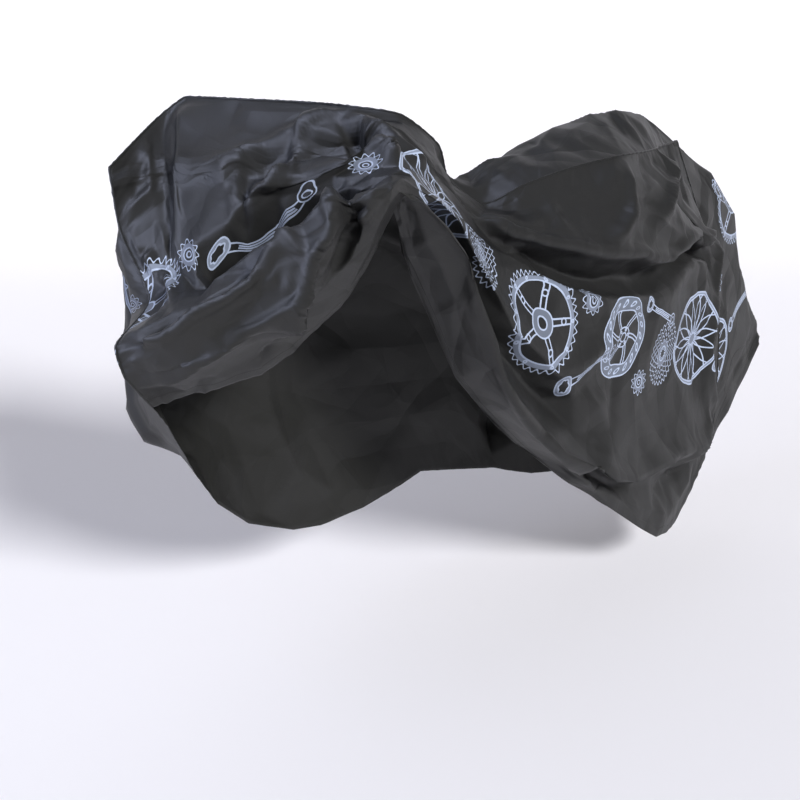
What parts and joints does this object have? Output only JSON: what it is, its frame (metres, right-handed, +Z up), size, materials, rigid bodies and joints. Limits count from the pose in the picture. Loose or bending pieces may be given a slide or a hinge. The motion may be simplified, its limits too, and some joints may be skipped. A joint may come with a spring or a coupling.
{
  "type": "bicycle cover",
  "caption": "Draped bicycle cover of thin coated polyester: two side panels sewn along the front, top and rear, open below, hitched up over one grip.",
  "frame": {"origin": "the underside of the cover's top, at the point over the bicycle's saddle that carries it", "axes": "+X from the front wheel to the rear wheel, +Y from the near side, which is lifted, to the far side, +Z up"},
  "size_m": [1.7148, 0.5978, 0.9633],
  "materials": {
    "coated_polyester": "satin"
  },
  "bodies": {
    "root": {"panel_near": "coated_polyester", "panel_far": "coated_polyester"}
  },
  "joints": []
}
